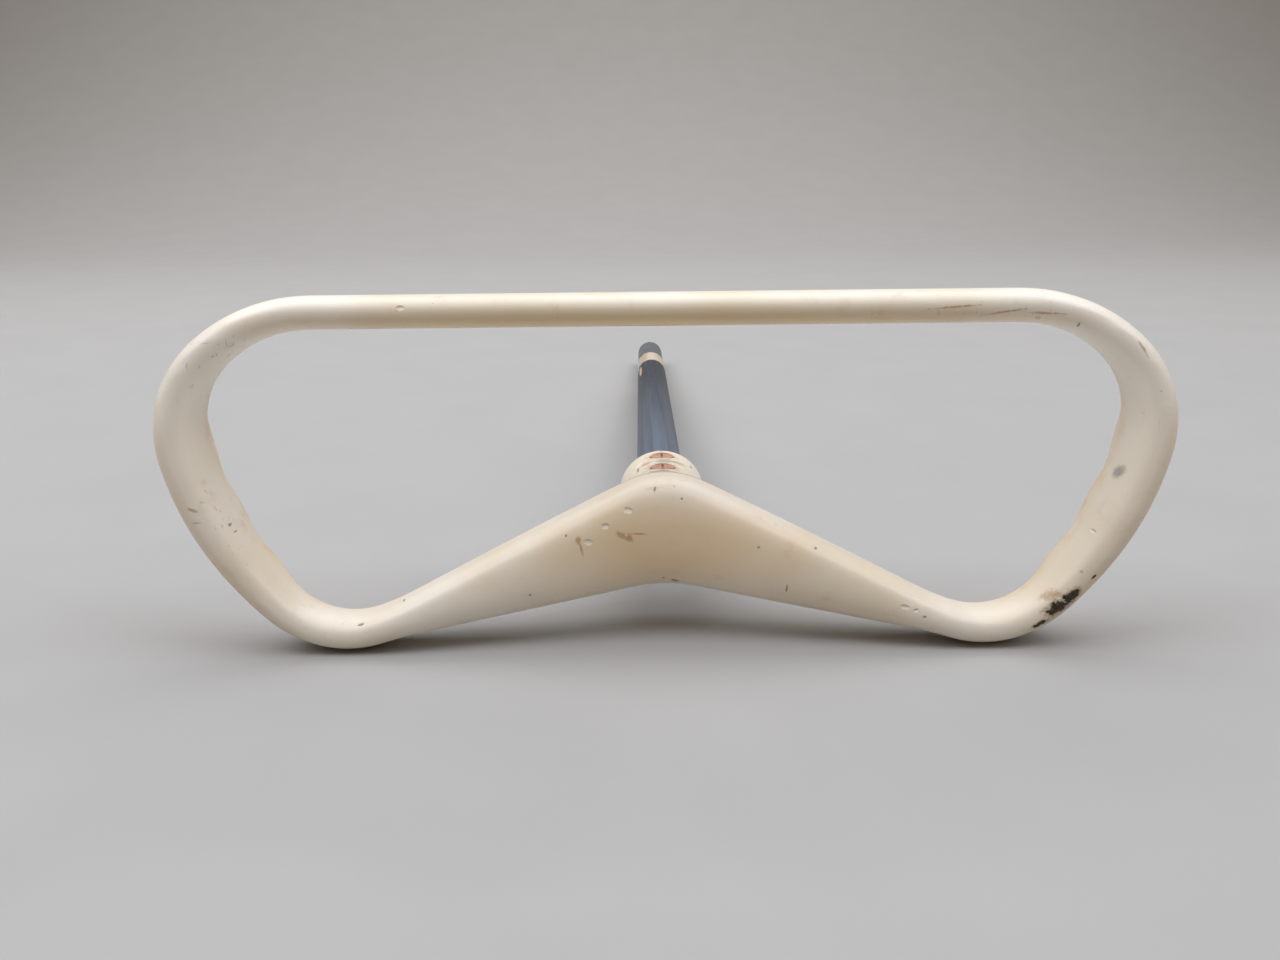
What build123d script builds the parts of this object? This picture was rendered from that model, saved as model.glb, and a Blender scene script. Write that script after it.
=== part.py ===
from build123d import *
import math
import os

# An aircraft control yoke, in millimetres. The control tube lies along Y with the centre of its open forward end
# at the origin. The pilot sits towards -Y and looks along +Y, X is to the pilot's right and Z is up.

# Control tube
tube_diameter = 19.05
tube_wall = 1.65
tube_reach = 503.0  # from the rim's middle plane forward to the tube's open end
bare_end_diameter = 18.5
bare_end_length = 71.0
joint_hole_diameter = 4.8
joint_hole_inset = 15.0

# Wheel centreline, from the middle of the top bar round one side to the hub, with angles in degrees
top_bar_half_length = 112.6
shoulder_radius = 50.6  # the corner starts wide at the bar and tightens towards the grip
shoulder_turn = 42.7
corner_radius = 34.3
corner_turn = 59.8
grip_radius = 110.6
grip_turn = 30.3
lobe_radius = 31.5
arm_slope = 18.25
hub_bend_radius = 38.0
hub_dish = 10.0  # how far the hub's middle lies behind the rim's middle plane

# Sections of the moulding: thickness lies in the rim's plane, depth runs from front to back
bar_thickness = 10.8
bar_depth = 17.4
grip_thickness = 14.2
grip_depth = 25.6
taper_lead = 28.0  # from the start of the first finger pad to where the grip begins to thin towards the lobe
lobe_thickness = 11.6
lobe_depth = 20.0
hub_height = 38.4
hub_drop = 0.8  # from the tube's axis down to the middle of the hub
hub_depth = 24.0
seat_stock = 3.0  # extra depth behind the hub, trimmed flat for the collar's seat
arm_ease_in = 0.13  # share of the arm over which it starts to widen
arm_ease_out = 0.12  # share of the arm over which it rounds off at the hub
rim_squareness = 2.3  # 2 is an ellipse, higher values are closer to a rectangle
hub_front_squareness = 2.5
hub_rear_squareness = 3.5
section_points = 12
station_spacing = 4.0

# Finger pads on the inner back of each grip
finger_count = 3
finger_pitch = 24.0
finger_rise = 1.7
finger_lead = 60.0  # from the end of the top bar along the rim to the first pad
finger_angle = 60.0  # direction of the rise, from the inner side towards the back
finger_softness = 0.3  # rounds the notch between two pads

# Steel core inside the moulding
core_bar_size = 6.0  # square bar bent to the rim's shape
core_bar_lap = 42.0  # length of each bar end that lies on the spoke plate
plate_thickness = 3.0
plate_tip_width = 9.0
plate_tip_reach = 12.0  # from the plate's tip to the end of the lobe
plate_ring = 2.2

# Hub sleeve with its collar
collar_diameter = 32.4
collar_length = 36.0
collar_edge = 0.8
spigot_diameter = 22.5
sleeve_web = 3.0
seam_gap = 0.4
tube_clearance = 0.05
tube_end_gap = 0.3

# Tube plug
plug_overhang = 6.0  # how far the plug runs on past the collar
plug_clearance = 0.05

# Clamp bolts, with their washers, castle nuts and cotter pins
bolt_pitch = 18.0
bolt_diameter = 4.76
bolt_clearance = 0.1
head_diameter = 8.7
head_height = 3.3
head_recess = 3.6
recess_clearance = 0.3
slot_width = 0.9
slot_depth = 0.8
washer_diameter = 11.1
washer_thickness = 1.6
washer_seat_depth = 2.2  # spot face under the collar, from its lowest line
washer_seat_clearance = 0.7
nut_across_flats = 9.525
nut_height = 4.76
castle_depth = 2.2
cotter_diameter = 1.5
cotter_clearance = 0.1
cotter_eye_radius = 2.0
cotter_leg_length = 3.0
bolt_tail = 0.6

# Places along the tube
rim_y = -tube_reach
hub_y = rim_y + hub_dish
seat_y = hub_y + hub_depth / 2
collar_front_y = seat_y + seam_gap
collar_rear_y = collar_front_y + collar_length
plate_front_y = rim_y + core_bar_size / 2
tube_front_y = plate_front_y + sleeve_web + tube_end_gap
bolt_middle_y = (collar_front_y + collar_rear_y) / 2
bolt_rows = {"front": bolt_middle_y - bolt_pitch / 2, "rear": bolt_middle_y + bolt_pitch / 2}

# Heights of the bolt stack
recess_floor_z = collar_diameter / 2 - head_recess
washer_seat_z = washer_seat_depth - collar_diameter / 2
nut_top_z = washer_seat_z - washer_thickness
nut_bottom_z = nut_top_z - nut_height
cotter_z = nut_bottom_z + castle_depth - cotter_diameter / 2 - cotter_clearance
bolt_hole_diameter = bolt_diameter + 2 * bolt_clearance


def along_x(diameter, start, end, y, z):
    return Pos(start, y, z) * Rot(0, 90, 0) * Cylinder(
        diameter / 2, end - start, align=(Align.CENTER, Align.CENTER, Align.MIN)
    )


def along_y(diameter, start, end):
    return Pos(0, start, 0) * Rot(-90, 0, 0) * Cylinder(
        diameter / 2, end - start, align=(Align.CENTER, Align.CENTER, Align.MIN)
    )


def along_z(diameter, start, end, y):
    return Pos(0, y, start) * Cylinder(
        diameter / 2, end - start, align=(Align.CENTER, Align.CENTER, Align.MIN)
    )


def advance(place, length, turn):
    """The place (x, z, heading) reached from a place along a run that turns steadily clockwise."""
    x, z, heading = place
    if turn == 0:
        return x + length * math.cos(heading), z - length * math.sin(heading), heading
    radius = length / turn
    ahead = heading + turn
    x += radius * (math.sin(ahead) - math.sin(heading))
    z += radius * (math.cos(ahead) - math.cos(heading))
    return x, z, ahead


def half_loop():
    """Runs (length, turn) of half the loop. The arm is as long as it takes to end above the tube's axis."""
    slope = math.radians(arm_slope)
    shoulder = math.radians(shoulder_turn)
    corner = math.radians(corner_turn)
    grip = math.radians(grip_turn)
    lobe = math.pi + slope - shoulder - corner - grip
    runs = [
        (top_bar_half_length, 0),
        (shoulder_radius * shoulder, shoulder),
        (corner_radius * corner, corner),
        (grip_radius * grip, grip),
        (lobe_radius * lobe, lobe),
    ]
    place = (0, 0, 0)
    for length, turn in runs:
        place = advance(place, length, turn)
    arm_length = (place[0] - hub_bend_radius * math.sin(slope)) / math.cos(slope)
    return runs + [(arm_length, 0), (hub_bend_radius * slope, -slope)]


def centreline(distance, start=(0, 0, 0)):
    """The place (x, z, heading) at a distance from the middle of the top bar."""
    place = start
    for length, turn in loop_runs:
        step = min(distance, length)
        place = advance(place, step, turn * step / length)
        distance -= step
        if distance <= 0:
            break
    return place


loop_runs = half_loop()
run_ends = [sum(length for length, _ in loop_runs[: count + 1]) for count in range(len(loop_runs))]
bar_end, _, _, grip_end, lobe_end, _, loop_end = run_ends
lobe_middle = (grip_end + lobe_end) / 2
finger_start = bar_end + finger_lead
finger_end = finger_start + finger_count * finger_pitch
top_bar_z = -centreline(loop_end)[1] - hub_drop
top_bar_middle = (0, top_bar_z, 0)


def ramp(distance, start, end):
    """Rises smoothly from 0 at start to 1 at end."""
    share = min(max((distance - start) / (end - start), 0), 1)
    return share * share * (3 - 2 * share)


def arm_share(distance):
    """0 on the rim, gathering pace along the arm and easing off to 1 at the hub."""
    share = max((distance - lobe_end) / (loop_end - lobe_end), 0)
    pace = 1 / (1 - (arm_ease_in + arm_ease_out) / 2)
    if share < arm_ease_in:
        return pace * share**2 / (2 * arm_ease_in)
    if share < 1 - arm_ease_out:
        return pace * (share - arm_ease_in / 2)
    return 1 - pace * (1 - share) ** 2 / (2 * arm_ease_out)


def along_loop(distance, bar, grip, lobe, hub):
    """A size at a distance along the loop, from its values at the bar, the grip, the lobe and the hub."""
    to_grip = ramp(distance, bar_end, finger_start + finger_pitch)
    to_lobe = ramp(distance, finger_start + taper_lead, lobe_middle)
    return bar + (grip - bar) * to_grip + (lobe - grip) * to_lobe + (hub - lobe) * arm_share(distance)


def pad_rise(distance):
    """How far a finger pad stands out at a distance along the loop."""
    if not finger_start < distance < finger_end:
        return 0
    wave = math.sin(math.pi * (distance - finger_start) / finger_pitch)
    return finger_rise * (math.hypot(wave, finger_softness) - finger_softness)


def signed_power(value, power):
    return math.copysign(abs(value) ** power, value)


def section_outline(distance, side):
    """Points round the moulding's section at a distance along the loop, on the right (side 1) or left (side -1)."""
    x, z, heading = centreline(distance, top_bar_middle)
    if distance > lobe_end:
        heading = math.pi + math.radians(arm_slope) * (loop_end - distance) / (loop_end - lobe_end)
    inward_x, inward_z = -math.sin(heading), -math.cos(heading)
    middle_y = rim_y + hub_dish * arm_share(distance)
    thickness = along_loop(distance, bar_thickness, grip_thickness, lobe_thickness, hub_height)
    front_depth = along_loop(distance, bar_depth, grip_depth, lobe_depth, hub_depth) / 2
    rear_depth = front_depth + seat_stock * arm_share(distance)
    front = along_loop(distance, rim_squareness, rim_squareness, rim_squareness, hub_front_squareness)
    rear = along_loop(distance, rim_squareness, rim_squareness, rim_squareness, hub_rear_squareness)
    lean = math.radians(finger_angle)
    points = []
    for count in range(section_points):
        angle = 2 * math.pi * count / section_points
        squareness, depth = (rear, rear_depth) if count < section_points / 2 else (front, front_depth)
        inward = thickness / 2 * signed_power(math.cos(angle), 2 / squareness)
        back = depth * signed_power(math.sin(angle), 2 / squareness)
        rise = pad_rise(distance) * max(math.cos(angle - lean), 0) ** 2
        inward += rise * math.cos(lean)
        back += rise * math.sin(lean)
        points.append(Vector(side * (x + inward * inward_x), middle_y + back, z + inward * inward_z))
    return points


def section_wire(distance, side):
    """The moulding's closed section, with one smooth edge from each point to the next."""
    points = section_outline(distance, side)
    edges = []
    for count in range(section_points):
        before, start, end, after = (points[(count + step) % section_points] for step in (-1, 0, 1, 2))
        edges.append(Edge.make_spline([start, end], tangents=[end - before, after - start]))
    return Wire(edges)


def spread(start, end, spacing):
    """Distances from start up to, but not at, end, about one spacing apart."""
    count = max(round((end - start) / spacing), 1)
    return [start + (end - start) * step / count for step in range(count)]


def moulding_body():
    """The loop and hub without their core: a straight bar, lofts down each side and one loft across the spoke."""
    bar = extrude(Face(section_wire(bar_end, 1)), amount=2 * bar_end, dir=(-1, 0, 0))
    spoke_half = spread(lobe_end, loop_end, station_spacing)
    spoke = [section_wire(distance, 1) for distance in spoke_half]
    spoke.append(section_wire(loop_end, 1))
    spoke += [section_wire(distance, -1) for distance in reversed(spoke_half)]
    body = bar + Solid.make_loft(spoke)
    joints = [bar_end, finger_start, finger_end, lobe_end]
    for start, end in zip(joints, joints[1:]):
        for side in (1, -1):
            stations = spread(start, end, station_spacing) + [end]
            body += Solid.make_loft([section_wire(distance, side) for distance in stations])
    return body


def wheel_moulding(core):
    """The moulding, trimmed flat where the collar comes up to it and moulded round its core."""
    behind_seat = Pos(0, seat_y, 0) * Box(
        2 * hub_height, hub_depth, 2 * hub_height, align=(Align.CENTER, Align.MIN, Align.CENTER)
    )
    moulding = moulding_body() - behind_seat
    for piece in core:
        moulding -= piece
    return moulding


def spigot():
    return along_y(spigot_diameter, plate_front_y, collar_front_y)


def rim_core_bar():
    """The bar inside the rim: its ends run on along the arms, in the rim's plane."""
    edges = []
    place = top_bar_middle
    for length, turn in loop_runs[:-2] + [(core_bar_lap, 0)]:
        halfway = advance(place, length / 2, turn / 2)
        end = advance(place, length, turn)
        points = [(x, rim_y, z) for x, z, _ in (place, halfway, end)]
        if turn == 0:
            edges.append(Line(points[0], points[2]))
        else:
            edges.append(ThreePointArc(*points))
        place = end
    start = Plane(origin=(0, rim_y, top_bar_z), x_dir=(0, 1, 0), z_dir=(1, 0, 0))
    half = sweep(start * Rectangle(core_bar_size, core_bar_size), path=Wire(edges))
    return half + mirror(half, about=Plane.YZ)


def spoke_plate():
    """The flat steel V that joins the core bar's ends to the sleeve, with a ring round the sleeve's spigot."""
    tip_x, tip_z, heading = centreline(lobe_end + plate_tip_reach, top_bar_middle)
    rise_x = -plate_tip_width / 2 * math.sin(heading)
    rise_z = -plate_tip_width / 2 * math.cos(heading)
    ring_radius = spigot_diameter / 2 + plate_ring
    arm_outline = Polygon(
        (0, -ring_radius),
        (tip_x - rise_x, tip_z - rise_z),
        (tip_x + rise_x, tip_z + rise_z),
        (0, ring_radius),
        align=None,
    )
    arm_outline += Pos(tip_x, tip_z) * Circle(plate_tip_width / 2)
    standing = Plane(origin=(0, plate_front_y, 0), x_dir=(1, 0, 0), z_dir=(0, -1, 0))
    arm = extrude(standing * arm_outline, amount=plate_thickness, dir=(0, 1, 0))
    ring = along_y(2 * ring_radius, plate_front_y, plate_front_y + plate_thickness)
    return ring + arm + mirror(arm, about=Plane.YZ) - spigot()


def hub_sleeve():
    """The turned sleeve: a spigot inside the hub, the collar behind it, and one blind bore for the tube."""
    collar = along_y(collar_diameter, collar_front_y, collar_rear_y)
    collar = chamfer(collar.edges().filter_by(GeomType.CIRCLE), collar_edge)
    sleeve = collar + spigot()
    bore_diameter = tube_diameter + 2 * tube_clearance
    sleeve -= along_y(bore_diameter, plate_front_y + sleeve_web, collar_rear_y)
    for y in bolt_rows.values():
        sleeve -= along_z(bolt_hole_diameter, -collar_diameter, collar_diameter, y)
        sleeve -= along_z(head_diameter + 2 * recess_clearance, recess_floor_z, collar_diameter, y)
        sleeve -= along_z(washer_diameter + 2 * washer_seat_clearance, -collar_diameter, washer_seat_z, y)
    return sleeve


def control_tube():
    """The tube, with its forward end turned down for the joint that it carries on the aircraft."""
    tube = along_y(tube_diameter, tube_front_y, -bare_end_length)
    tube += along_y(bare_end_diameter, -bare_end_length, 0)
    tube -= along_y(tube_diameter - 2 * tube_wall, tube_front_y, 0)
    for y in bolt_rows.values():
        tube -= along_z(bolt_hole_diameter, -tube_diameter, tube_diameter, y)
    return tube - along_x(joint_hole_diameter, -tube_diameter, tube_diameter, -joint_hole_inset, 0)


def tube_plug():
    plug_diameter = tube_diameter - 2 * tube_wall - 2 * plug_clearance
    plug = along_y(plug_diameter, tube_front_y, collar_rear_y + plug_overhang)
    for y in bolt_rows.values():
        plug -= along_z(bolt_hole_diameter, -tube_diameter, tube_diameter, y)
    return plug


def clamp_bolt(y):
    """A clevis bolt with a slotted round head, drilled near its tail for the cotter pin."""
    head_top = recess_floor_z + head_height
    bolt = along_z(bolt_diameter, nut_bottom_z - bolt_tail, recess_floor_z, y)
    bolt += along_z(head_diameter, recess_floor_z, head_top, y)
    bolt -= Pos(0, y, head_top) * Box(slot_width, 2 * head_diameter, 2 * slot_depth)
    cotter_hole = cotter_diameter + 2 * cotter_clearance
    return bolt - along_x(cotter_hole, -bolt_diameter, bolt_diameter, y, cotter_z)


def bolt_washer(y):
    washer = along_z(washer_diameter, nut_top_z, washer_seat_z, y)
    return washer - along_z(bolt_hole_diameter, nut_top_z, washer_seat_z, y)


def castle_nut(y):
    """A hexagon nut with six slots in its lower end, one pair in line with the cotter pin."""
    hexagon = Pos(0, y, nut_bottom_z) * Rot(0, 0, 30) * RegularPolygon(nut_across_flats / math.sqrt(3), 6)
    nut = extrude(hexagon, amount=nut_height, dir=(0, 0, 1))
    nut -= along_z(bolt_hole_diameter, nut_bottom_z, nut_top_z, y)
    castle_slot = Box(2 * nut_across_flats, cotter_diameter + 2 * cotter_clearance, 2 * castle_depth)
    for turn in (0, 60, 120):
        nut -= Pos(0, y, nut_bottom_z) * Rot(0, 0, turn) * castle_slot
    return nut


def cotter_pin(y):
    """The split pin: its eye on one side of the nut, its two legs bent up and down on the other."""
    reach = nut_across_flats / 2 + cotter_clearance + cotter_diameter / 2
    pin = along_x(cotter_diameter, -reach - cotter_eye_radius / 4, reach, y, cotter_z)
    eye = Cylinder(cotter_eye_radius, cotter_diameter) - Cylinder(cotter_eye_radius / 2, cotter_diameter)
    pin += Pos(-reach - cotter_eye_radius, y, cotter_z) * Rot(90, 0, 0) * eye
    legs = along_z(cotter_diameter, cotter_z - cotter_leg_length, cotter_z + cotter_leg_length, y)
    return pin + Pos(reach, 0, 0) * legs


core_bar = rim_core_bar()
plate = spoke_plate()
nodes = {
    "wheel_moulding": wheel_moulding([core_bar, plate, spigot()]),
    "rim_core_bar": core_bar,
    "spoke_plate": plate,
    "hub_sleeve": hub_sleeve(),
    "control_tube": control_tube(),
    "tube_plug": tube_plug(),
}
for row, y in bolt_rows.items():
    nodes[f"{row}_clamp_bolt"] = clamp_bolt(y)
    nodes[f"{row}_bolt_washer"] = bolt_washer(y)
    nodes[f"{row}_castle_nut"] = castle_nut(y)
    nodes[f"{row}_cotter_pin"] = cotter_pin(y)

os.makedirs("parts", exist_ok=True)
for name, shape in nodes.items():
    export_step(shape, f"parts/{name}.step")
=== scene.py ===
import math

import bmesh
import bpy
from mathutils import Matrix, Vector


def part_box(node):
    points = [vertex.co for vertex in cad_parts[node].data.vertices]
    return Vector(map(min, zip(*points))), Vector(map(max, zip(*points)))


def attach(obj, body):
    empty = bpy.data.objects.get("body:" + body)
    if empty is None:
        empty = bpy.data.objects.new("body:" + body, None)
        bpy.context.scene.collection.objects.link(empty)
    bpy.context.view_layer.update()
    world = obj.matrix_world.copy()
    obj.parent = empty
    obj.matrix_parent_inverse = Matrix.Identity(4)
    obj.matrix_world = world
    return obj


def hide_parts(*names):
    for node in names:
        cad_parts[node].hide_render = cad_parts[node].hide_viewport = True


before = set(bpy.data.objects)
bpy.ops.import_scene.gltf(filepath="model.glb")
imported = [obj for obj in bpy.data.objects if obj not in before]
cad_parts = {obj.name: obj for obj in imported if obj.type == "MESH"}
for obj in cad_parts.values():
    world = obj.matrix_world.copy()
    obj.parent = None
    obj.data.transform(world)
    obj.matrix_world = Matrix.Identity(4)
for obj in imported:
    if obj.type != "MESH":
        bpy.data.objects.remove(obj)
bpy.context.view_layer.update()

# Rim core bar and spoke plate: the bent square bar and the flat V of mild steel that the wheel is moulded round.
# They are welded where they lap, left with their blue grey mill scale, and the moulding closes over both.


def linear(hex_colour):
    """A linear RGBA colour from an sRGB hex value."""
    parts = [int(hex_colour[place : place + 2], 16) / 255 for place in (1, 3, 5)]
    return [part / 12.92 if part <= 0.04045 else ((part + 0.055) / 1.055) ** 2.4 for part in parts] + [1.0]


# Sockets go by name or by number. In a Map Range, 0 is the value, 1 and 2 are its range, and 3 and 4 the result's.
# In a colour Mix, 0 is the share, 6 and 7 are the two colours, and output 2 is the result.
def add_node(tree, kind, inputs, output=0, **settings):
    """Adds a node with its settings and gives back one output. An input is a value, or the socket that feeds it."""
    node = tree.nodes.new("ShaderNode" + kind)
    for name, value in settings.items():
        setattr(node, name, value)
    for name, value in inputs.items():
        if isinstance(value, bpy.types.NodeSocket):
            tree.links.new(value, node.inputs[name])
        else:
            node.inputs[name].default_value = value
    return node.outputs[output] if node.outputs else None


def new_finish(name):
    """An empty material, its node tree, and the place on the piece in millimetres."""
    finish = bpy.data.materials.new(name)
    finish.use_nodes = True
    tree = finish.node_tree
    tree.nodes.clear()
    metres = add_node(tree, "TexCoord", {}, "Object")
    place = add_node(tree, "VectorMath", {0: metres, "Scale": 1000.0}, operation="SCALE")
    return finish, tree, place


def dress(node_name, finish):
    """Gives a solid of the frame its finish."""
    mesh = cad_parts[node_name].data
    mesh.materials.clear()
    mesh.materials.append(finish)


# Hot rolled mild steel: mill scale gives a dull blue grey with lighter rubbed spots about 8 mm across.
mill_steel, tree, place = new_finish("hot_rolled_steel")
spots = add_node(tree, "TexNoise", {"Vector": place, "Scale": 1 / 8.0, "Detail": 5.0})
rubbed = add_node(tree, "MapRange", {0: spots, 1: 0.4, 2: 0.7})
colour = add_node(tree, "Mix", {0: rubbed, 6: linear("#4A4D52"), 7: linear("#777A7E")}, 2, data_type="RGBA")
grit = add_node(tree, "TexNoise", {"Vector": place, "Scale": 1 / 0.6, "Detail": 3.0})
steel_look = {
    "Base Color": colour,
    "Metallic": 0.9,
    "Roughness": add_node(tree, "MapRange", {0: spots, 3: 0.75, 4: 0.35}),
    "Normal": add_node(tree, "Bump", {"Height": grit, "Distance": 0.00005}),
}
add_node(tree, "OutputMaterial", {0: add_node(tree, "BsdfPrincipled", steel_look)})
dress("rim_core_bar", mill_steel)
dress("spoke_plate", mill_steel)

# Wheel moulding: a dark phenolic moulding round the steel core, sprayed with ivory enamel that has yellowed with age.
# It is moulded in one piece with its V spoke. The enamel is scuffed and pitted, and chipped away on one lobe.
skin_weld_distance = 0.00001
skin_voxel = 0.0011
skin_smoothing_rounds = 6
skin_smoothing_share = 0.5

skin = bmesh.new()
skin.from_mesh(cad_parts["wheel_moulding"].data)
bmesh.ops.remove_doubles(skin, verts=skin.verts, dist=skin_weld_distance)
wheel_mesh = bpy.data.meshes.new("wheel_skin")
skin.to_mesh(wheel_mesh)
skin.free()
wheel = bpy.data.objects.new("wheel_skin", wheel_mesh)
bpy.context.scene.collection.objects.link(wheel)
even_out = wheel.modifiers.new("even_out", "REMESH")
even_out.mode = "VOXEL"
even_out.voxel_size = skin_voxel
depsgraph = bpy.context.evaluated_depsgraph_get()
even_mesh = bpy.data.meshes.new_from_object(wheel.evaluated_get(depsgraph))
wheel.modifiers.clear()
skin = bmesh.new()
skin.from_mesh(even_mesh)
for _ in range(skin_smoothing_rounds):
    bmesh.ops.smooth_vert(
        skin, verts=skin.verts, factor=skin_smoothing_share, use_axis_x=True, use_axis_y=True, use_axis_z=True
    )
for face in skin.faces:
    face.smooth = True
skin.to_mesh(wheel_mesh)
skin.free()
bpy.data.meshes.remove(even_mesh)


def nearest_mark(tree, place, marks):
    """Under 1 inside the nearest mark, an ellipsoid given by its centre, half sizes and turn about Y in degrees."""
    nearest = None
    for centre, half_sizes, turn in marks:
        mapping = {"Vector": place, "Location": centre, "Rotation": (0, math.radians(turn), 0), "Scale": half_sizes}
        inside = add_node(tree, "Mapping", mapping, vector_type="TEXTURE")
        reach = add_node(tree, "VectorMath", {0: inside}, "Value", operation="LENGTH")
        nearest = reach if nearest is None else add_node(tree, "Math", {0: nearest, 1: reach}, operation="MINIMUM")
    return nearest


# For each kind of mark: how ragged its edge is, and how near its share starts and is full.
mark_edges = {
    "scuffed": (0.0, 1.4, 0.6),
    "dents_and_glints": (0.4, 1.15, 0.3),
    "smudges": (1.0, 1.5, 0.4),
    "stains": (3.2, 1.5, 0.3),
    "scratches": (2.6, 1.2, 0.7),
    "thin": (3.0, 1.75, 1.15),
    "bare": (3.0, 1.08, 0.92),
}
smooth = {"interpolation_type": "SMOOTHSTEP"}
crumbling = {"Scale": 1 / 1.9, "Detail": 6.0, "Roughness": 0.72}
# Dark brown for the grime in the seams, laid on darker than grime alone as painted shade.
seam_dirt_and_shade_brown = linear("#5A4630")


def ivory_enamel(name, marks, add_wear):
    """Sprayed ivory enamel: semi gloss, uneven in tone, with pits, hair scratches and the marks of its piece."""
    finish, tree, place = new_finish(name)

    # The tone shifts in patches about 42 mm across, under a film of dirt in clouds about 9 mm across.
    tone = add_node(tree, "TexNoise", {"Vector": place, "Scale": 1 / 42.0, "Detail": 4.0})
    yellowed = add_node(tree, "MapRange", {0: tone, 1: 0.35, 2: 0.68}, **smooth)
    cloud = add_node(tree, "TexNoise", {"Vector": place, "Scale": 1 / 9.0, "Detail": 6.0, "Roughness": 0.65})
    dirt = add_node(tree, "MapRange", {0: cloud, 1: 0.55, 2: 0.95}, **smooth)
    colour = add_node(tree, "Mix", {0: yellowed, 6: linear("#F0E8DA"), 7: linear("#E8DCC6")}, 2, data_type="RGBA")
    colour = add_node(tree, "Mix", {0: dirt, 6: colour, 7: linear("#CDB48A")}, 2, data_type="RGBA")
    colour = add_wear(tree, place, cloud, colour)

    # Each mark's edge crumbles in bits about 1.9 mm across, and the enamel is thin round what is bare.
    crumble = add_node(tree, "TexNoise", {"Vector": place, **crumbling})
    marks = {**marks, "thin": marks["bare"]}
    share = {}
    for kind, (raggedness, start, full) in mark_edges.items():
        reach = nearest_mark(tree, place, marks[kind])
        reach = add_node(tree, "Math", {0: crumble, 1: raggedness, 2: reach}, operation="MULTIPLY_ADD")
        edge = {0: reach, 1: start + raggedness / 2, 2: full + raggedness / 2}
        share[kind] = add_node(tree, "MapRange", edge, **smooth)

    # Pits 0.4 to 1.3 mm across, in a quarter of cells 6.5 mm wide, each with its own size and darkness.
    cell = add_node(tree, "TexVoronoi", {"Vector": place, "Scale": 1 / 6.5})
    chance = add_node(tree, "SeparateColor", {0: cell.node.outputs["Color"]}).node.outputs
    pit_reach = add_node(tree, "MapRange", {0: chance[1], 3: 0.03, 4: 0.1})
    near = add_node(tree, "Math", {0: cell, 1: pit_reach}, operation="DIVIDE")
    near = add_node(tree, "MapRange", {0: near, 1: 1.1, 2: 0.6}, **smooth)
    chosen = add_node(tree, "Math", {0: chance[0], 1: 0.74}, operation="GREATER_THAN")
    pits = add_node(tree, "Math", {0: near, 1: chosen}, operation="MULTIPLY")
    darkness = add_node(tree, "MapRange", {0: chance[2], 3: 0.15, 4: 0.75})
    dark_pits = add_node(tree, "Math", {0: pits, 1: darkness}, operation="MULTIPLY")

    # Hair scratches run both ways, in patches about 26 mm across and where the piece is scuffed. They are drawn about
    # 0.5 mm wide, which is coarser than real ones, so that they show.
    patch = add_node(tree, "TexNoise", {"Vector": place, "Scale": 1 / 26.0})
    patch = add_node(tree, "MapRange", {0: patch, 1: 0.62, 2: 0.74}, **smooth)
    patch = add_node(tree, "Math", {0: patch, 1: share["scuffed"]}, operation="MAXIMUM")
    hairs = 0.0
    for stretch in ((22.0, 3.0, 5.0), (3.0, 4.0, 18.0)):
        drawn_out = add_node(tree, "VectorMath", {0: place, 1: stretch}, operation="DIVIDE")
        hair = add_node(tree, "TexNoise", {"Vector": drawn_out, "Scale": 1 / 0.42})
        hair = add_node(tree, "MapRange", {0: hair, 1: 0.66, 2: 0.74}, **smooth)
        hairs = add_node(tree, "Math", {0: hair, 1: hairs}, operation="MAXIMUM")
    scuffs = add_node(tree, "Math", {0: hairs, 1: patch}, operation="MULTIPLY")

    # Where the enamel is gone, the moulding shows dark brown, with grains about 0.9 mm across.
    phenolic = add_node(tree, "TexNoise", {"Vector": place, "Scale": 1 / 0.9})
    phenolic = add_node(tree, "MapRange", {0: phenolic, 1: 0.35, 2: 0.7})
    phenolic = add_node(tree, "Mix", {0: phenolic, 6: linear("#1B1510"), 7: linear("#584634")}, 2, data_type="RGBA")
    layers = [
        (dark_pits, 1.0, linear("#55452F")),
        (scuffs, 0.3, linear("#75654E")),
        # Painted highlight: dents are drawn paler, as if each caught a glint, beside the real hollow that the bump
        # gives them.
        (share["dents_and_glints"], 0.3, linear("#FBF7EE")),
        (share["smudges"], 0.7, linear("#8B8A88")),
        (share["stains"], 0.62, linear("#A3743F")),
        (share["scratches"], 0.62, linear("#54442F")),
        (share["thin"], 0.55, linear("#96805F")),
        (share["bare"], 1.0, phenolic),
    ]
    for cover, strength, over in layers:
        cover = add_node(tree, "Math", {0: cover, 1: strength}, operation="MULTIPLY")
        colour = add_node(tree, "Mix", {0: cover, 6: colour, 7: over}, 2, data_type="RGBA")

    # The spray left orange peel about 1.6 mm and sags about 11 mm across. Opened places are rough and sunken.
    opened = add_node(tree, "Math", {0: share["bare"], 1: share["scratches"]}, operation="MAXIMUM")
    opened = add_node(tree, "Math", {0: opened, 1: pits}, operation="MAXIMUM")
    roughness = add_node(tree, "MapRange", {0: cloud, 3: 0.24, 4: 0.46})
    roughness = add_node(tree, "Math", {0: opened, 1: 0.3, 2: roughness}, operation="MULTIPLY_ADD")
    peel = add_node(tree, "TexNoise", {"Vector": place, "Scale": 1 / 1.6})
    sag = add_node(tree, "TexNoise", {"Vector": place, "Scale": 1 / 11.0, "Detail": 1.0})
    height = 0.0
    for relief, depth in ((peel, 0.016), (sag, 0.1), (opened, -0.12), (scuffs, -0.02), (share["dents_and_glints"], -0.4)):
        height = add_node(tree, "Math", {0: relief, 1: depth, 2: height}, operation="MULTIPLY_ADD")
    look = {
        "Base Color": colour,
        "Roughness": roughness,
        "IOR": 1.5,
        "Normal": add_node(tree, "Bump", {"Height": height, "Strength": 1.0, "Distance": 0.001}),
    }
    add_node(tree, "OutputMaterial", {0: add_node(tree, "BsdfPrincipled", look)})
    return finish
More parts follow.
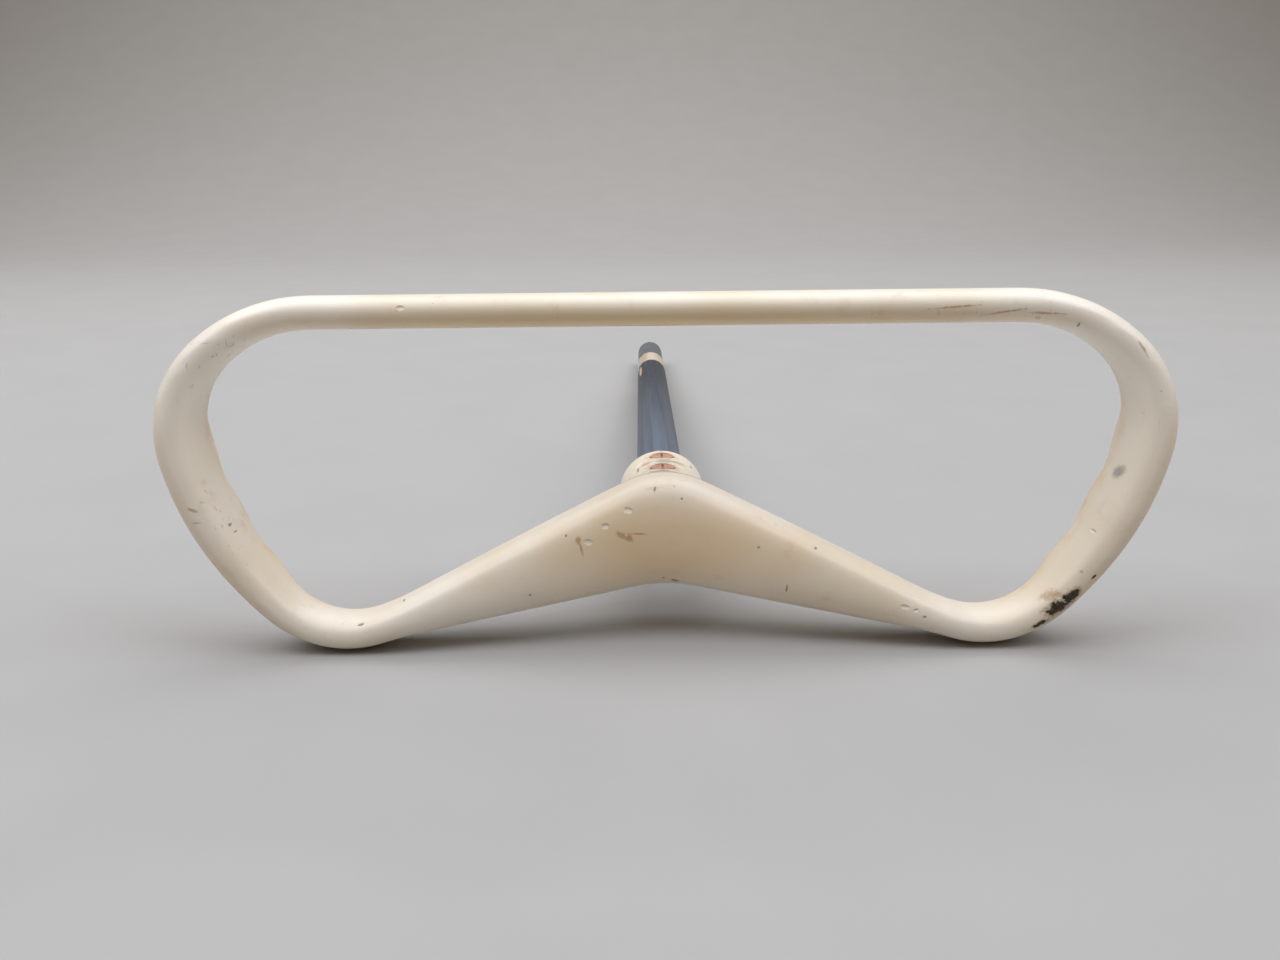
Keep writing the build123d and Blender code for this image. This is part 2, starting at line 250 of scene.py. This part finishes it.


# Where painted light, painted shade and age go on the wheel, in millimetres: the round of a grip's outer edge, its
# pads, the upper corners, and the marks along the fronts, along the hub's rear crest, and in the seam against the
# collar.
grip_round_centre = (49.2, 0.0, 52.8)
grip_edge_start = 110.0
grip_edge_full = 117.0
pads_start_x = 106.0
pads_full_x = 124.0
pads_front_y = -503.5
pads_back_y = -493.0
corner_start_x = 95.0
corner_full_x = 135.0
corner_start_z = 5.0
corner_full_z = 50.0
shaded_and_yellowed_fronts = [((4.0, -507.0, -3.0), (46.0, 12.0, 17.0), 0.0), ((0.0, -510.5, 71.0), (130.0, 7.0, 5.5), 0.0)]
crest_seam_shade = [((0.0, -488.5, 15.5), (27.0, 1.0, 9.0), 0.0)]
hub_seam = [((0.0, -481.0, 0.0), (20.5, 2.2, 20.5), 0.0)]


def wheel_wear(tree, place, cloud, colour):
    """Painted light on the upper corners, painted shade on the fronts and grip edges, yellow grip pads, and grime with
    painted shade at the collar and on the hub's crest.
    """
    x = add_node(tree, "SeparateXYZ", {0: place})
    y = x.node.outputs[1]
    z = x.node.outputs[2]
    outward = add_node(tree, "Math", {0: x}, operation="ABSOLUTE")

    # Painted light: the upper corners are drawn paler, most of all high up and far out, as if more light fell on them.
    outer = add_node(tree, "MapRange", {0: outward, 1: corner_start_x, 2: corner_full_x})
    upper = add_node(tree, "MapRange", {0: z, 1: corner_start_z, 2: corner_full_z, 4: 0.7})
    painted_corner_light = add_node(tree, "Math", {0: outer, 1: upper}, operation="MULTIPLY")
    colour = add_node(tree, "Mix", {0: painted_corner_light, 6: colour, 7: linear("#FBF5EA")}, 2, data_type="RGBA")

    # The finger pads on the back of the grips are drawn yellow in patches.
    grip = add_node(tree, "MapRange", {0: outward, 1: pads_start_x, 2: pads_full_x})
    behind = add_node(tree, "MapRange", {0: y, 1: pads_front_y, 2: pads_back_y})
    patchy = add_node(tree, "MapRange", {0: cloud, 1: 0.25, 2: 0.75, 4: 0.85})
    yellow_pads = add_node(tree, "Math", {0: grip, 1: behind}, operation="MULTIPLY")
    yellow_pads = add_node(tree, "Math", {0: yellow_pads, 1: patchy}, operation="MULTIPLY")
    colour = add_node(tree, "Mix", {0: yellow_pads, 6: colour, 7: linear("#D9A858")}, 2, data_type="RGBA")

    # Painted shade: the fronts of the hub and the bar are drawn tan where they face away from the light, the hub's
    # front also for its yellowing, and so is the outer edge of the grips.
    shade_and_age_tint = nearest_mark(tree, place, shaded_and_yellowed_fronts)
    shade_and_age_tint = add_node(tree, "MapRange", {0: shade_and_age_tint, 1: 1.2, 2: 0.4, 4: 0.62})
    colour = add_node(tree, "Mix", {0: shade_and_age_tint, 6: colour, 7: linear("#DFBF88")}, 2, data_type="RGBA")
    # Painted shade: the outer edge of each grip is drawn tan, following the round of the grip.
    folded = add_node(tree, "CombineXYZ", {0: outward, 2: z})
    reach = add_node(tree, "VectorMath", {0: folded, 1: grip_round_centre}, "Value", operation="DISTANCE")
    painted_outer_shade = add_node(tree, "MapRange", {0: reach, 1: grip_edge_start, 2: grip_edge_full, 4: 0.7})
    colour = add_node(tree, "Mix", {0: painted_outer_shade, 6: colour, 7: linear("#C8AC82")}, 2, data_type="RGBA")

    # Painted shade: a thin dark line is drawn along the hub's rear crest, standing in for the shaded seam behind it.
    # Grime, laid on darker as painted shade, lies thickly in the seam.
    crest_seam_shade_share = nearest_mark(tree, place, crest_seam_shade)
    crest_seam_shade_share = add_node(tree, "MapRange", {0: crest_seam_shade_share, 1: 1.0, 2: 0.6, 4: 0.7})
    seam = nearest_mark(tree, place, hub_seam)
    seam = add_node(tree, "MapRange", {0: seam, 1: 1.0, 2: 0.75, 4: 0.85})
    seam_dirt_and_shade_share = add_node(tree, "Math", {0: crest_seam_shade_share, 1: seam}, operation="MAXIMUM")
    return add_node(tree, "Mix", {0: seam_dirt_and_shade_share, 6: colour, 7: seam_dirt_and_shade_brown}, 2, data_type="RGBA")


wheel_marks = {
    "bare": [
        ((133.5, -513.5, -19.6), (2.8, 4.0, 1.7), -48.0),
        ((129.3, -513.5, -23.6), (3.6, 3.5, 1.9), -32.0),
        ((124.6, -512.5, -29.2), (2.4, 3.0, 0.7), -30.0),
        ((140.0, -514.0, -12.7), (0.8, 1.6, 0.4), -35.0),
    ],
    "stains": [
        ((-28.9, -506.6, -0.7), (0.8, 2.0, 1.3), 12.0),
        ((-28.0, -506.8, -3.6), (0.4, 2.0, 2.6), -14.0),
        ((-14.4, -505.6, 0.6), (1.7, 2.0, 1.1), 30.0),
        ((-12.2, -505.6, -0.4), (1.5, 2.0, 1.2), 10.0),
        ((127.2, -511.5, -19.9), (3.6, 2.5, 1.5), -22.0),
        ((-151.8, -515.7, 13.4), (2.0, 2.0, 0.6), 22.0),
        ((-9.0, -505.0, 1.0), (3.4, 2.0, 0.3), 3.0),
        ((89.8, -511.7, 75.1), (7.0, 2.0, 0.32), -4.0),
        ((105.5, -511.5, 73.4), (6.0, 2.0, 0.32), -8.0),
        ((117.9, -511.5, 72.9), (5.0, 2.0, 0.32), 3.0),
        ((148.9, -513.3, 61.7), (0.4, 2.0, 3.2), -32.0),
    ],
    "smudges": [((148.2, -506.8, 21.2), (0.75, 3.0, 2.9), 32.0), ((95.0, -509.0, -21.5), (4.0, 3.0, 1.6), 0.0)],
    "scratches": [
        ((128.9, -511.2, 69.1), (0.35, 2.0, 1.2), 8.0),
        ((3.3, -500.9, -16.9), (1.5, 1.6, 0.5), 20.0),
        ((-3.3, -500.9, 15.2), (0.4, 1.5, 0.8), 10.0),
        ((-88.4, -505.5, -21.3), (0.6, 1.2, 0.6), 0.0),
        ((-102.0, -510.9, -28.0), (1.2, 1.6, 0.3), -14.0),
        ((-142.8, -509.3, 6.8), (0.4, 1.4, 0.5), 0.0),
        ((-141.4, -509.3, 4.4), (0.35, 1.4, 0.4), 0.0),
        ((85.9, -512.4, -26.7), (0.8, 1.5, 0.45), 0.0),
        ((40.5, -507.7, -18.0), (0.3, 1.6, 1.2), 5.0),
        ((-45.4, -508.2, -19.0), (0.6, 1.4, 0.5), 0.0),
        ((50.2, -505.4, -4.7), (0.6, 1.4, 0.45), 0.0),
        ((-33.1, -505.5, 0.6), (0.4, 1.2, 0.4), 0.0),
    ],
    "dents_and_glints": [
        ((-25.7, -506.3, -1.4), (1.6, 2.0, 1.0), 10.0),
        ((-20.0, -505.0, 3.7), (1.5, 2.0, 1.0), -15.0),
        ((-12.3, -503.5, 8.7), (1.7, 2.0, 1.1), 5.0),
        ((-81.9, -511.4, 76.6), (1.3, 1.6, 0.8), 0.0),
        ((79.3, -511.7, -23.4), (1.6, 1.6, 0.8), 10.0),
        ((83.0, -511.9, -24.6), (1.0, 1.6, 0.6), -20.0),
        ((140.3, -509.6, 1.6), (0.7, 1.6, 0.7), 0.0),
        ((-135.7, -511.5, 65.8), (1.5, 1.5, 0.7), -20.0),
        ((-144.6, -513.0, -1.0), (0.8, 1.5, 0.9), 0.0),
    ],
    "scuffed": [
        ((106.0, -511.5, 74.0), (24.0, 8.0, 5.0), 0.0),
        ((-140.0, -510.0, 60.0), (16.0, 9.0, 14.0), 0.0),
        ((-145.0, -512.0, 10.0), (12.0, 8.0, 12.0), 0.0),
        ((84.0, -511.0, -25.0), (12.0, 6.0, 5.0), 0.0),
    ],
}
wheel_mesh.materials.clear()
wheel_mesh.materials.append(ivory_enamel("ivory_enamel_on_phenolic", wheel_marks, wheel_wear))
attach(wheel, "root")
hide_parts("wheel_moulding")

# Hub sleeve: a turned steel sleeve. Its spigot is buried in the hub, and its collar stands out behind, sprayed with
# the same ivory enamel. Rust has crept out of the bolt holes. Dirt sits in the seam against the hub, drawn darker as
# painted shade.
dirt_and_shade_creep = 2.0
dirt_and_shade_edge_y = -476.4
dirt_and_shade_full_y = -477.8


def collar_wear(tree, place, cloud, colour):
    """Dirt and painted shade in the seam at the collar's front edge."""
    y = add_node(tree, "SeparateXYZ", {0: place}, 1)
    crept = add_node(tree, "Math", {0: cloud, 1: dirt_and_shade_creep, 2: y}, operation="MULTIPLY_ADD")
    seam = add_node(tree, "MapRange", {0: crept, 1: dirt_and_shade_edge_y, 2: dirt_and_shade_full_y, 4: 0.9})
    return add_node(tree, "Mix", {0: seam, 6: colour, 7: seam_dirt_and_shade_brown}, 2, data_type="RGBA")


collar_marks = {
    "bare": [((6.0, -444.7, 15.0), (1.1, 0.6, 0.8), 0.0), ((-11.0, -444.7, 11.8), (0.9, 0.5, 0.8), 0.0)],
    "stains": [
        ((0.0, -471.6, 15.6), (5.8, 5.8, 3.0), 0.0),
        ((0.0, -453.6, 15.6), (5.8, 5.8, 3.0), 0.0),
        ((5.5, -462.0, 15.2), (3.0, 2.4, 2.0), 0.0),
        ((-6.0, -462.5, 15.0), (2.0, 2.4, 2.0), 0.0),
    ],
    "smudges": [((0.5, -462.5, 16.2), (3.6, 2.8, 2.0), 0.0)],
    "scratches": [((-9.0, -466.0, 13.5), (0.4, 3.0, 1.6), 0.0), ((11.0, -455.0, 12.0), (0.4, 2.4, 1.6), 0.0)],
    "dents_and_glints": [((-8.0, -459.0, 14.0), (2.2, 3.0, 2.0), 0.0)],
    "scuffed": [((0.0, -462.0, 16.0), (14.0, 18.0, 6.0), 0.0)],
}
dress("hub_sleeve", ivory_enamel("ivory_enamel_on_steel", collar_marks, collar_wear))

# Control tube: a drawn steel tube with dark blue grey enamel, rubbed lengthwise by the bearing that it slides in.
# A band of ivory enamel is brushed on near the forward end, which is turned down and left bare for its joint.
band_rear = -114.0
band_front = -71.0
band_wander = 4.0
band_soft_edge = 0.4
bare_soft_edge = 0.2
sheen_start_y = -170.0
sheen_full_y = -440.0
streak_stretch = (1.0, 60.0, 1.0)
turning_stretch = (30.0, 1.0, 30.0)
primer_marks = [((-7.6, -146.0, 5.6), (0.9, 20.0, 2.0), 0.0), ((-8.6, -125.0, 3.0), (0.8, 8.0, 1.6), 0.0)]

# Sprayed enamel over steel: a soft gloss, with long pale rub marks, a painted sheen that grows towards the collar, and
# a few strokes of bare primer.
tube_enamel, tree, place = new_finish("blue_grey_enamel_on_steel")
y = add_node(tree, "SeparateXYZ", {0: place}, 1)
drawn_out = add_node(tree, "VectorMath", {0: place, 1: streak_stretch}, operation="DIVIDE")
cloud = add_node(tree, "TexNoise", {"Vector": drawn_out, "Scale": 1 / 6.0, "Detail": 2.0})
streaks = add_node(tree, "TexNoise", {"Vector": drawn_out, "Scale": 1 / 0.8, "Detail": 3.0, "Distortion": 0.6})
wide_streaks = add_node(tree, "TexNoise", {"Vector": drawn_out, "Scale": 1 / 2.4, "Detail": 2.0, "Distortion": 0.6})
rub = add_node(tree, "MapRange", {0: streaks, 1: 0.6, 2: 0.74, 4: 0.4}, **smooth)
wander = add_node(tree, "TexNoise", {"Vector": place, "Scale": 1 / 3.0, "Detail": 4.0})
brushed_y = add_node(tree, "Math", {0: wander, 1: band_wander, 2: y}, operation="MULTIPLY_ADD")
brushed_rear = band_rear + band_wander / 2
band_edge = {0: brushed_y, 1: brushed_rear - band_soft_edge, 2: brushed_rear + band_soft_edge}
band = add_node(tree, "MapRange", band_edge, **smooth)
bare_edge = {0: y, 1: band_front - bare_soft_edge, 2: band_front + bare_soft_edge}
bare_end = add_node(tree, "MapRange", bare_edge, **smooth)
round_and_round = add_node(tree, "VectorMath", {0: place, 1: turning_stretch}, operation="DIVIDE")
turning = add_node(tree, "TexNoise", {"Vector": round_and_round, "Scale": 1 / 0.5})
crumble = add_node(tree, "TexNoise", {"Vector": place, **crumbling})
primer = nearest_mark(tree, place, primer_marks)
primer = add_node(tree, "Math", {0: crumble, 1: 1.6, 2: primer}, operation="MULTIPLY_ADD")
primer = add_node(tree, "MapRange", {0: primer, 1: 2.0, 2: 1.6}, **smooth)
light = add_node(tree, "MapRange", {0: cloud, 1: 0.35, 2: 0.7}, **smooth)
colour = add_node(tree, "Mix", {0: light, 6: linear("#1F2731"), 7: linear("#29323D")}, 2, data_type="RGBA")
shade_and_age_tint = add_node(tree, "Mix", {0: light, 6: linear("#CCBFAC"), 7: linear("#B6A58B")}, 2, data_type="RGBA")
turned = add_node(tree, "MapRange", {0: turning, 1: 0.35, 2: 0.7})
turned = add_node(tree, "Mix", {0: turned, 6: linear("#757C83"), 7: linear("#9DA4AA")}, 2, data_type="RGBA")
# Painted sheen: the wide pale streaks are real wear, drawn stronger towards the collar as a painted reflection.
wide_wear_and_sheen = add_node(tree, "MapRange", {0: wide_streaks, 1: 0.3, 2: 0.7, 3: 0.5}, **smooth)
painted_sheen_towards_collar = add_node(tree, "MapRange", {0: y, 1: sheen_start_y, 2: sheen_full_y})
wide_wear_and_sheen = add_node(tree, "Math", {0: wide_wear_and_sheen, 1: painted_sheen_towards_collar}, operation="MULTIPLY")
layers = [
    (wide_wear_and_sheen, linear("#667080")),
    (rub, linear("#7D8898")),
    (band, shade_and_age_tint),
    (primer, linear("#C9A88F")),
    (bare_end, turned),
]
for cover, over in layers:
    colour = add_node(tree, "Mix", {0: cover, 6: colour, 7: over}, 2, data_type="RGBA")
turned_grooves = add_node(tree, "Math", {0: turning, 1: bare_end}, operation="MULTIPLY")
rubbed = add_node(tree, "MapRange", {0: bare_end, 3: streaks, 4: 0.5})
height = 0.0
for relief, depth in ((rubbed, 0.02), (band, 0.06), (primer, -0.04), (turned_grooves, 0.03)):
    height = add_node(tree, "Math", {0: relief, 1: depth, 2: height}, operation="MULTIPLY_ADD")
tube_look = {
    "Base Color": colour,
    "Metallic": bare_end,
    "Roughness": add_node(tree, "MapRange", {0: cloud, 3: 0.3, 4: 0.55}),
    "Specular IOR Level": 0.35,
    "Normal": add_node(tree, "Bump", {"Height": height, "Strength": 1.0, "Distance": 0.001}),
}
add_node(tree, "OutputMaterial", {0: add_node(tree, "BsdfPrincipled", tube_look)})
dress("control_tube", tube_enamel)

# Tube plug: a turned aluminium slug inside the tube, under the collar. It keeps the clamp bolts from crushing the tube.
# The tool has left rings about 0.4 mm apart.
turned_aluminium, tree, place = new_finish("turned_aluminium")
round_and_round = add_node(tree, "VectorMath", {0: place, 1: (60.0, 1.0, 60.0)}, operation="DIVIDE")
rings = add_node(tree, "TexNoise", {"Vector": round_and_round, "Scale": 1 / 0.4})
plug_look = {
    "Base Color": add_node(tree, "Mix", {0: rings, 6: linear("#B4B6B8"), 7: linear("#D2D3D4")}, 2, data_type="RGBA"),
    "Metallic": 1.0,
    "Roughness": add_node(tree, "MapRange", {0: rings, 3: 0.22, 4: 0.42}),
    "Normal": add_node(tree, "Bump", {"Height": rings, "Strength": 1.0, "Distance": 0.00003}),
}
add_node(tree, "OutputMaterial", {0: add_node(tree, "BsdfPrincipled", plug_look)})
dress("tube_plug", turned_aluminium)

# Clamp bolts: two slotted steel bolts that go down through the collar, tube and plug, their heads flush in recesses.
# Their plating is gone, so the heads have the dull salmon brown of thin rust, with darker crumbs about 0.5 mm across.
rusted_steel, tree, place = new_finish("rusted_steel")
flakes = add_node(tree, "TexNoise", {"Vector": place, "Scale": 1 / 1.3, "Detail": 5.0, "Roughness": 0.7})
crumbs = add_node(tree, "TexNoise", {"Vector": place, "Scale": 1 / 0.5, "Detail": 3.0})
rust_tone = add_node(tree, "MapRange", {0: flakes, 1: 0.3, 2: 0.7})
rust_crumbs = add_node(tree, "MapRange", {0: crumbs, 1: 0.56, 2: 0.8})
colour = add_node(tree, "Mix", {0: rust_tone, 6: linear("#A06A52"), 7: linear("#CFA68F")}, 2, data_type="RGBA")
colour = add_node(tree, "Mix", {0: rust_crumbs, 6: colour, 7: linear("#7A4F3A")}, 2, data_type="RGBA")
rust_look = {
    "Base Color": colour,
    "Metallic": 0.15,
    "Roughness": add_node(tree, "MapRange", {0: crumbs, 3: 0.45, 4: 0.85}),
    "Normal": add_node(tree, "Bump", {"Height": flakes, "Strength": 1.0, "Distance": 0.00012}),
}
add_node(tree, "OutputMaterial", {0: add_node(tree, "BsdfPrincipled", rust_look)})
for row in ("front", "rear"):
    dress(row + "_clamp_bolt", rusted_steel)

# Washers, castle nuts and cotter pins: standard aircraft hardware of cadmium plated steel under the collar.
# The plating has gone dull and straw coloured in patches about 3 mm across. Each pin is bent over to lock its nut.
cadmium_plate, tree, place = new_finish("dull_cadmium_plate")
straw = add_node(tree, "TexNoise", {"Vector": place, "Scale": 1 / 3.0, "Detail": 5.0})
straw_share = add_node(tree, "MapRange", {0: straw, 1: 0.35, 2: 0.7})
grain = add_node(tree, "TexNoise", {"Vector": place, "Scale": 1 / 0.4, "Detail": 3.0})
plate_look = {
    "Base Color": add_node(
        tree, "Mix", {0: straw_share, 6: linear("#A9A493"), 7: linear("#857757")}, 2, data_type="RGBA"
    ),
    "Metallic": 1.0,
    "Roughness": add_node(tree, "MapRange", {0: straw, 3: 0.3, 4: 0.6}),
    "Normal": add_node(tree, "Bump", {"Height": grain, "Strength": 1.0, "Distance": 0.00004}),
}
add_node(tree, "OutputMaterial", {0: add_node(tree, "BsdfPrincipled", plate_look)})
for row in ("front", "rear"):
    for hardware in ("_bolt_washer", "_castle_nut", "_cotter_pin"):
        dress(row + hardware, cadmium_plate)

# Floor and backdrop: the yoke stands on its two lobes and on the far end of its tube, so the pale board slopes up
# a little along the tube. It is one sheet that curves up into a wall well behind the yoke.
floor_half_size = 2.6
floor_far_y = 1.0
backdrop_radius = 2.2
backdrop_height = 2.0
backdrop_steps = 32
bare_end_radius = 0.00925
wheel_low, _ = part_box("wheel_moulding")
bar_low, bar_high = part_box("rim_core_bar")
_, tube_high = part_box("control_tube")
rim_middle_y = (bar_low.y + bar_high.y) / 2
floor_slope = math.atan2(-bare_end_radius - wheel_low.z, tube_high.y - rim_middle_y)
sheet = bmesh.new()
bmesh.ops.create_grid(sheet, x_segments=1, y_segments=1, size=floor_half_size)
bmesh.ops.translate(sheet, verts=sheet.verts, vec=(0, floor_far_y - floor_half_size, 0))
far_edge = max(sheet.edges, key=lambda edge: edge.verts[0].co.y + edge.verts[1].co.y)
curl = bmesh.ops.spin(
    sheet,
    geom=[far_edge, *far_edge.verts],
    cent=(0, floor_far_y, backdrop_radius),
    axis=(1, 0, 0),
    angle=math.pi / 2,
    steps=backdrop_steps,
)
wall_foot = [edge for edge in curl["geom_last"] if isinstance(edge, bmesh.types.BMEdge)]
wall = bmesh.ops.extrude_edge_only(sheet, edges=wall_foot)
wall_top = [vert for vert in wall["geom"] if isinstance(vert, bmesh.types.BMVert)]
bmesh.ops.translate(sheet, verts=wall_top, vec=(0, 0, backdrop_height))
bmesh.ops.rotate(sheet, verts=sheet.verts, cent=(0, 0, 0), matrix=Matrix.Rotation(floor_slope, 3, "X"))
bmesh.ops.translate(sheet, verts=sheet.verts, vec=(0, tube_high.y, -bare_end_radius))
for face in sheet.faces:
    face.smooth = True
floor_mesh = bpy.data.meshes.new("floor")
sheet.to_mesh(floor_mesh)
sheet.free()
floor = bpy.data.objects.new("floor", floor_mesh)
bpy.context.scene.collection.objects.link(floor)

# Matt painted board: pale grey, with a faint mottle about 60 mm across.
pale_board, tree, place = new_finish("pale_board")
mottle = add_node(tree, "TexNoise", {"Vector": place, "Scale": 1 / 60.0, "Detail": 6.0})
board_look = {
    "Base Color": add_node(tree, "Mix", {0: mottle, 6: linear("#A4A3A1"), 7: linear("#ABAAA8")}, 2, data_type="RGBA"),
    "Roughness": 0.8,
}
add_node(tree, "OutputMaterial", {0: add_node(tree, "BsdfPrincipled", board_look)})
floor_mesh.materials.append(pale_board)

# Light: a broad, slightly cool soft light overhead, a weaker one from each side, and one that washes the backdrop.
# The room round them is plain and pale, and the little light that it throws back is warm.
bpy.context.scene.view_settings.view_transform = "Standard"
surround = bpy.data.worlds.new("surround")
surround.use_nodes = True
tree = surround.node_tree
tree.nodes.clear()

# The camera sees the room paler and brighter than the light that it throws.
seen = add_node(tree, "LightPath", {}, "Is Camera Ray")
room = {
    "Color": add_node(tree, "Mix", {0: seen, 6: linear("#FFD9A8"), 7: linear("#F4F2EF")}, 2, data_type="RGBA"),
    "Strength": add_node(tree, "MapRange", {0: seen, 3: 0.17, 4: 0.6}),
}
add_node(tree, "OutputWorld", {0: add_node(tree, "Background", room)})
bpy.context.scene.world = surround

# Each light has its place, its width and depth in metres, its power in watts and its tint.
# One that has no aim faces straight down.
lights = [
    ("overhead", (-0.30, -0.20, 1.70), (3.2, 2.6), 54.0, "#F6F9FF"),
    ("left", (-1.40, -0.85, 1.40), (1.2, 1.2), 12.0, "#E9F1FF"),
    ("right", (1.40, -0.85, 1.40), (1.2, 1.2), 13.0, "#E9F1FF"),
    ("backdrop", (0.0, 0.90, 2.20), (3.0, 1.0), 26.0, "#FFFFFF"),
]
aims = {"left": (0.0, -0.40, 0.0), "right": (0.0, -0.40, 0.0), "backdrop": (0.0, 3.0, 0.9)}
for name, where, size, power, tint in lights:
    lamp = bpy.data.lights.new(name, "AREA")
    lamp.shape = "RECTANGLE"
    lamp.size, lamp.size_y = size
    lamp.energy = power
    lamp.color = linear(tint)[:3]
    lamp_object = bpy.data.objects.new(name, lamp)
    bpy.context.scene.collection.objects.link(lamp_object)
    lamp_object.location = where
    if name in aims:
        lamp_object.rotation_euler = (Vector(aims[name]) - Vector(where)).to_track_quat("-Z", "Y").to_euler()

# Camera: the photograph's place and angle, looking down at the wheel from the seat's side.
# Its place, turn and lens are worked out from the outline of the wheel and the edges of the tube.
camera_place = (-0.00767, -0.83532, 0.1008)
camera_pitch = math.radians(13.844)
camera_yaw = math.radians(0.097)
camera_roll = math.radians(-0.639)
focal_pixels = 1035.0
picture_width = 1280.0
camera_data = bpy.data.cameras.new("camera")
camera_data.sensor_width = 36.0
camera_data.lens = camera_data.sensor_width * focal_pixels / picture_width
camera_data.clip_start = 0.01
camera = bpy.data.objects.new("camera", camera_data)
bpy.context.scene.collection.objects.link(camera)
camera.matrix_world = (
    Matrix.Translation(camera_place)
    @ Matrix.Rotation(camera_yaw, 4, "Z")
    @ Matrix.Rotation(math.pi / 2 - camera_pitch, 4, "X")
    @ Matrix.Rotation(camera_roll, 4, "Z")
)
bpy.context.scene.camera = camera
